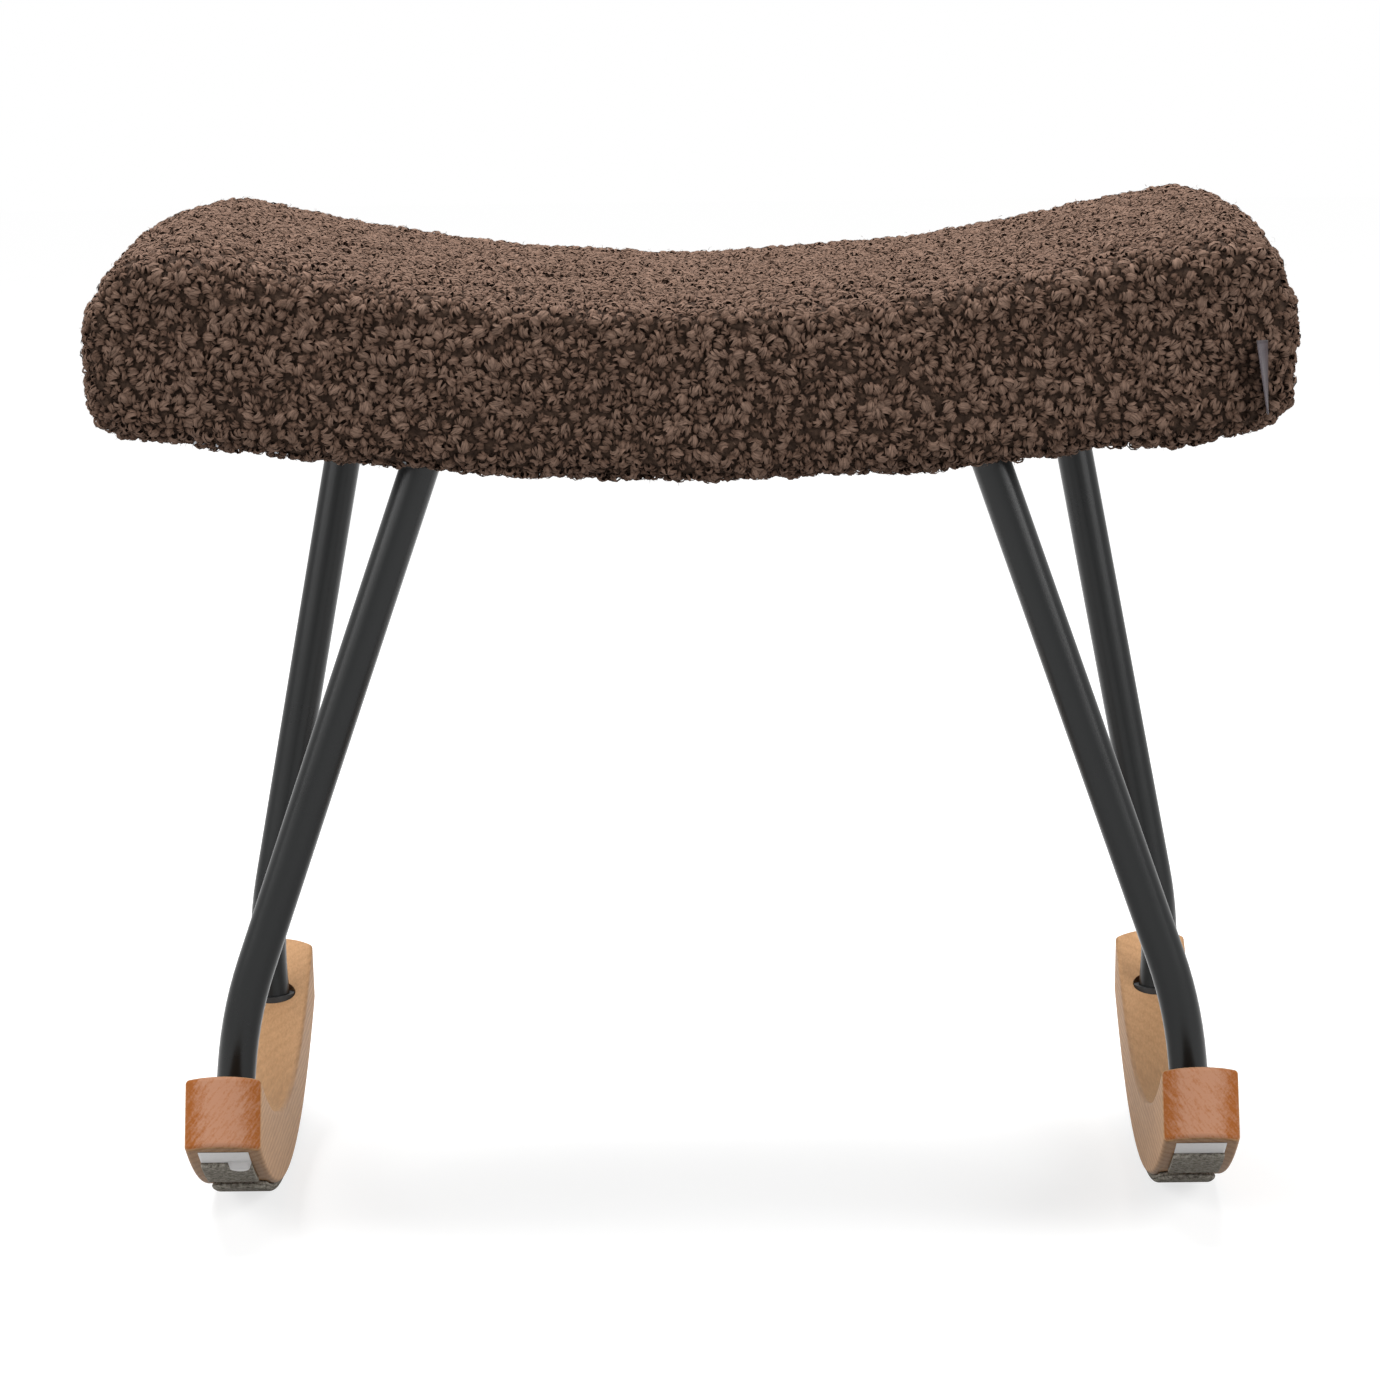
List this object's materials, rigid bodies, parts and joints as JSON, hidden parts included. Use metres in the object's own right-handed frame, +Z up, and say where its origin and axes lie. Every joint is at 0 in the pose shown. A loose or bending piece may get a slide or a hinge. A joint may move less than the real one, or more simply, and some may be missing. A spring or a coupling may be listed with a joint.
{
  "type": "rocking footstool",
  "caption": "Rocking footstool with a saddle-curved seat in curly brown pile, splayed black tube legs and curved wooden rockers with felt underneath.",
  "frame": {"origin": "on the floor under the middle of the seat, midway along the rockers", "axes": "+X along the seat to the right, +Y from the front to the rear, +Z up"},
  "size_m": [0.49, 0.3896, 0.4121],
  "materials": {
    "curly_pile_fabric": "matt curly pile",
    "foam": "open cell",
    "plywood": "raw",
    "dust_cloth": "matt",
    "satin_tag": "satin",
    "blank_label": "satin",
    "grey_felt": "matt",
    "beech": "satin oil",
    "black_powder_coat": "satin",
    "black_plastic": "matt",
    "black_zinc": "satin",
    "zinc_steel": "satin"
  },
  "bodies": {
    "root": {"cover_front_band": "curly_pile_fabric", "cover_left_end_band": "curly_pile_fabric", "cover_rear_band": "curly_pile_fabric", "cover_right_end_band": "curly_pile_fabric", "cover_top_panel": "curly_pile_fabric", "dust_cover": "dust_cloth", "foam_pad": "foam", "foot_plugs": "zinc_steel", "foot_screws": "zinc_steel", "foot_washers": "zinc_steel", "front_left_collar": "black_plastic", "front_left_leg": "black_powder_coat", "front_rail": "black_powder_coat", "front_right_collar": "black_plastic", "front_right_leg": "black_powder_coat", "left_felt_strip": "grey_felt", "left_front_felt_pad": "grey_felt", "left_label": "blank_label", "left_rear_felt_pad": "grey_felt", "left_rocker": "beech", "rail_screws": "black_zinc", "rear_left_collar": "black_plastic", "rear_left_leg": "black_powder_coat", "rear_rail": "black_powder_coat", "rear_right_collar": "black_plastic", "rear_right_leg": "black_powder_coat", "right_felt_strip": "grey_felt", "right_front_felt_pad": "grey_felt", "right_label": "blank_label", "right_rear_felt_pad": "grey_felt", "right_rocker": "beech", "seam_tag": "satin_tag", "seat_board": "plywood", "staples": "zinc_steel", "t_nuts": "zinc_steel"}
  },
  "joints": []
}
